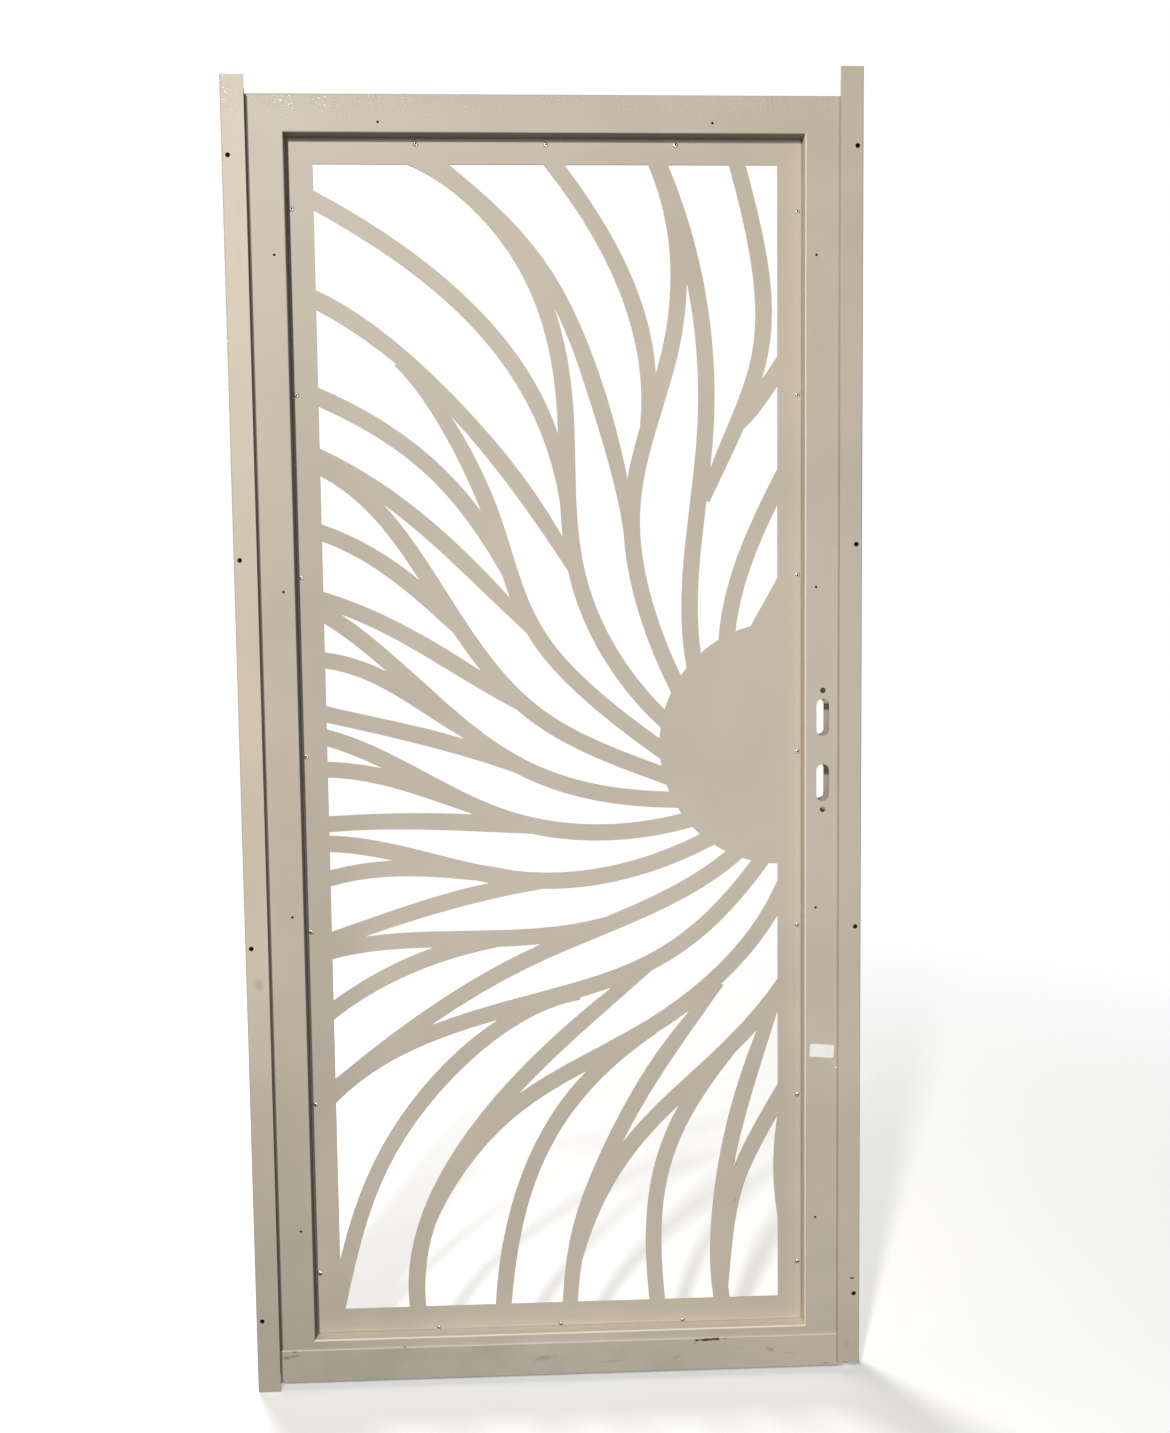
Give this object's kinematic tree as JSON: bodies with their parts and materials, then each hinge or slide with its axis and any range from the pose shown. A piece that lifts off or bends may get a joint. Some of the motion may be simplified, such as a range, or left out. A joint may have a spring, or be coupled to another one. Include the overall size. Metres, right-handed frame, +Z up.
{
  "type": "security screen door",
  "caption": "Surface-mount steel security screen door: tube leaf with a laser-cut sunburst sheet, lock cut-outs and adjustable foot channel, hinged between two flanged mounting jambs.",
  "frame": {"origin": "middle of the hinge jamb's wall-side face, at the jamb's foot", "axes": "+X along the door from hinge to latch side, +Y out of the wall, the way the leaf opens, +Z up"},
  "size_m": [0.9805, 0.0603, 2.0826],
  "materials": {
    "tan_paint": "satin powder coat, dusty",
    "pin_steel": "dull"
  },
  "bodies": {
    "frame": {"hinge_jamb": "tan_paint", "latch_jamb": "tan_paint", "hinge_low_jamb_half": "tan_paint", "hinge_low_pin": "pin_steel", "hinge_mid_jamb_half": "tan_paint", "hinge_mid_pin": "pin_steel", "hinge_top_jamb_half": "tan_paint", "hinge_top_pin": "pin_steel"},
    "leaf": {"hinge_stile": "tan_paint", "latch_stile": "tan_paint", "top_rail": "tan_paint", "bottom_rail": "tan_paint", "bottom_channel": "tan_paint", "sunburst_panel": "tan_paint", "hinge_ledge": "tan_paint", "latch_ledge": "tan_paint", "top_ledge": "tan_paint", "bottom_ledge": "tan_paint", "hinge_low_leaf_half": "tan_paint", "hinge_mid_leaf_half": "tan_paint", "hinge_top_leaf_half": "tan_paint"}
  },
  "joints": [
    {"name": "leaf_swing", "type": "hinge", "parent": "frame", "child": "leaf", "pos_m": [0.0119, 0.0541, 1.032], "axis": [0, 0, 1], "range_deg": [0, 180]}
  ]
}
